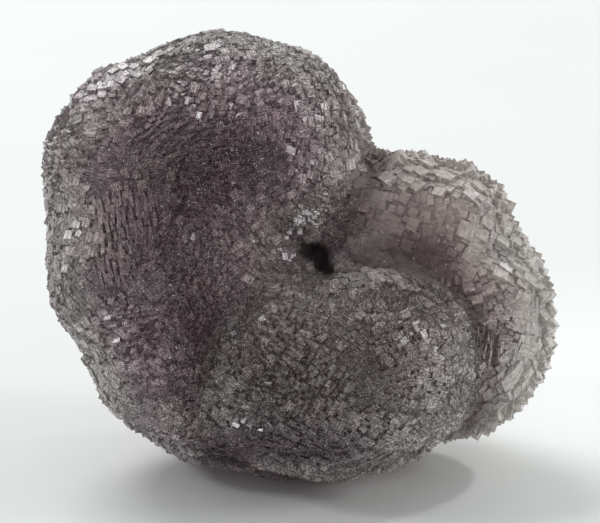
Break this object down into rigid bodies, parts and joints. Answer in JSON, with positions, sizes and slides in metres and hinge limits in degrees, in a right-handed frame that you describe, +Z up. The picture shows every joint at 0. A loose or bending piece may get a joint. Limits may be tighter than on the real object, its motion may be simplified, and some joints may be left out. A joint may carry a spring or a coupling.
{
  "type": "fluorite specimen",
  "caption": "Violet-grey see-through fluorite cluster: rounded lobes crusted with small intergrown cubes, a pit where they meet, and a flat underside to stand on.",
  "frame": {"origin": "middle of the bounding box's bottom, at the flat underside's height", "axes": "+Z up from the flat underside, +X towards the lower right lobe, -Y towards the side with the front lobe and the pit"},
  "size_m": [0.072, 0.0518, 0.0603],
  "materials": {
    "fluorite": "glassy cube faces, see-through violet-grey, paler and clearer towards the edges"
  },
  "bodies": {
    "root": {"fluorite": "fluorite"}
  },
  "joints": []
}
